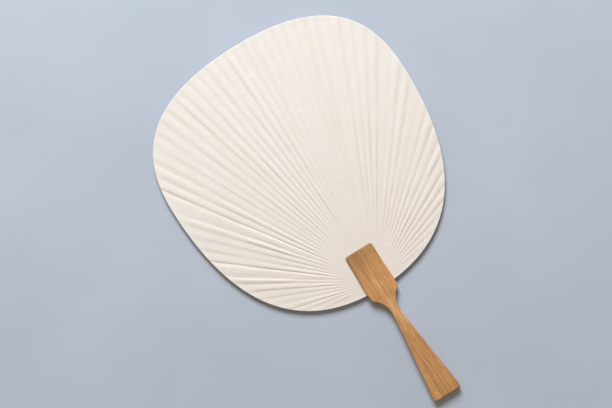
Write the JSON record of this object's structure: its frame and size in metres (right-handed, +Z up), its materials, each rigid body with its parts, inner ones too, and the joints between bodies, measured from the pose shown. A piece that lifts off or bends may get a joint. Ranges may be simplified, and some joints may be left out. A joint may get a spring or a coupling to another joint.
{
  "type": "round hand fan",
  "caption": "Round flat hand fan: split bamboo ribs between two sheets of pale paper, a folded paper edge strip and a slotted flat wooden handle that flares to its butt.",
  "frame": {"origin": "middle of the fan's length and width, on the plane of the handle's underside", "axes": "+Y from the butt of the handle to the crown of the face, +Z up through the thickness out of the front paper, +X to the right as seen from the front"},
  "size_m": [0.251, 0.3748, 0.008],
  "materials": {
    "handle_wood": "satin",
    "bamboo": "matte",
    "face_paper": "matte",
    "edge_paper": "matte"
  },
  "bodies": {
    "root": {"handle": "handle_wood", "front_paper": "face_paper", "back_paper": "face_paper", "edge_strip": "edge_paper", "rib_01": "bamboo", "rib_02": "bamboo", "rib_03": "bamboo", "rib_04": "bamboo", "rib_05": "bamboo", "rib_06": "bamboo", "rib_07": "bamboo", "rib_08": "bamboo", "rib_09": "bamboo", "rib_10": "bamboo", "rib_11": "bamboo", "rib_12": "bamboo", "rib_13": "bamboo", "rib_14": "bamboo", "rib_15": "bamboo", "rib_16": "bamboo", "rib_17": "bamboo", "rib_18": "bamboo", "rib_19": "bamboo", "rib_20": "bamboo", "rib_21": "bamboo", "rib_22": "bamboo", "rib_23": "bamboo", "rib_24": "bamboo", "rib_25": "bamboo", "rib_26": "bamboo", "rib_27": "bamboo", "rib_28": "bamboo", "rib_29": "bamboo", "rib_30": "bamboo", "rib_31": "bamboo", "rib_32": "bamboo", "rib_33": "bamboo", "rib_34": "bamboo", "rib_35": "bamboo", "rib_36": "bamboo", "rib_37": "bamboo", "rib_38": "bamboo", "rib_39": "bamboo", "rib_40": "bamboo", "rib_41": "bamboo", "rib_42": "bamboo", "rib_43": "bamboo", "rib_44": "bamboo", "rib_45": "bamboo", "rib_46": "bamboo", "rib_47": "bamboo", "rib_48": "bamboo", "rib_49": "bamboo", "rib_50": "bamboo", "rib_51": "bamboo", "rib_52": "bamboo", "rib_53": "bamboo", "rib_54": "bamboo"}
  },
  "joints": []
}
